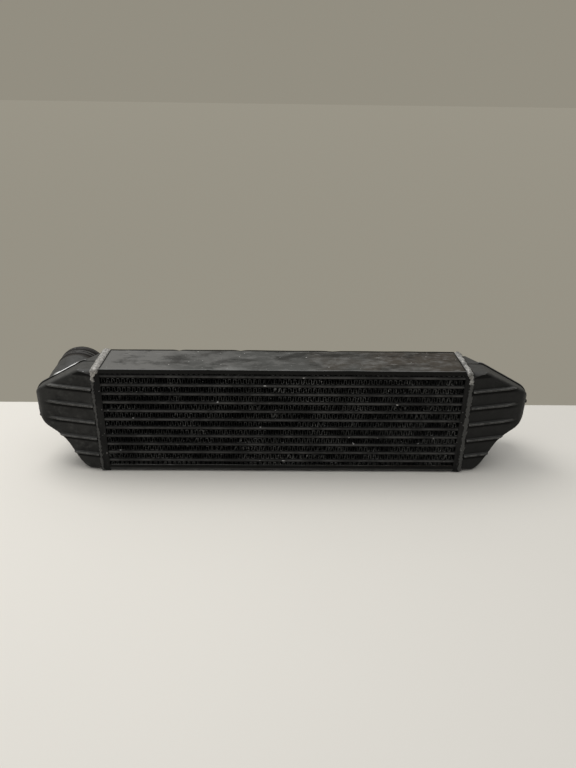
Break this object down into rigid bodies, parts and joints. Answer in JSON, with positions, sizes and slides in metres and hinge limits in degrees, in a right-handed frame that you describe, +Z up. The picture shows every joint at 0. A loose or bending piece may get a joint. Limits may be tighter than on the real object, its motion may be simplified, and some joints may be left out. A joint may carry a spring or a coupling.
{
  "type": "intercooler",
  "caption": "Tube-and-fin charge air cooler with a rectangular black core, two ribbed cast end tanks, rear ports and bare weld beads; cools compressed intake air.",
  "frame": {"origin": "on the ground, in the middle of the part's length and of its depth from the front face to the port mouths", "axes": "+X along the core from the left tank to the right tank, +Y to the rear, the way both ports open, +Z up"},
  "size_m": [0.5934, 0.0878, 0.1375],
  "materials": {
    "painted_tube": "satin black paint, dusty, thin on the tube edges",
    "painted_fin": "matt black paint on thin fins, with bright bare nicks",
    "painted_sheet": "worn satin black paint on sheet, grey with dust and scuffs",
    "painted_header": "satin black paint",
    "painted_casting": "satin black paint over a cast surface, dusty and rubbed on the ribs",
    "bare_weld": "bare oxidised aluminium weld, painted over on the sides"
  },
  "bodies": {
    "root": {"charge_tube_01": "painted_tube", "charge_tube_02": "painted_tube", "charge_tube_03": "painted_tube", "charge_tube_04": "painted_tube", "charge_tube_05": "painted_tube", "charge_tube_06": "painted_tube", "charge_tube_07": "painted_tube", "charge_tube_08": "painted_tube", "charge_tube_09": "painted_tube", "charge_tube_10": "painted_tube", "charge_tube_11": "painted_tube", "fin_row_01": "painted_fin", "fin_row_02": "painted_fin", "fin_row_03": "painted_fin", "fin_row_04": "painted_fin", "fin_row_05": "painted_fin", "fin_row_06": "painted_fin", "fin_row_07": "painted_fin", "fin_row_08": "painted_fin", "fin_row_09": "painted_fin", "fin_row_10": "painted_fin", "fin_row_11": "painted_fin", "fin_row_12": "painted_fin", "top_side_plate": "painted_sheet", "bottom_side_plate": "painted_sheet", "right_header_plate": "painted_header", "left_header_plate": "painted_header", "right_tank": "painted_casting", "left_tank": "painted_casting", "right_weld_bead": "bare_weld", "left_weld_bead": "bare_weld"}
  },
  "joints": []
}
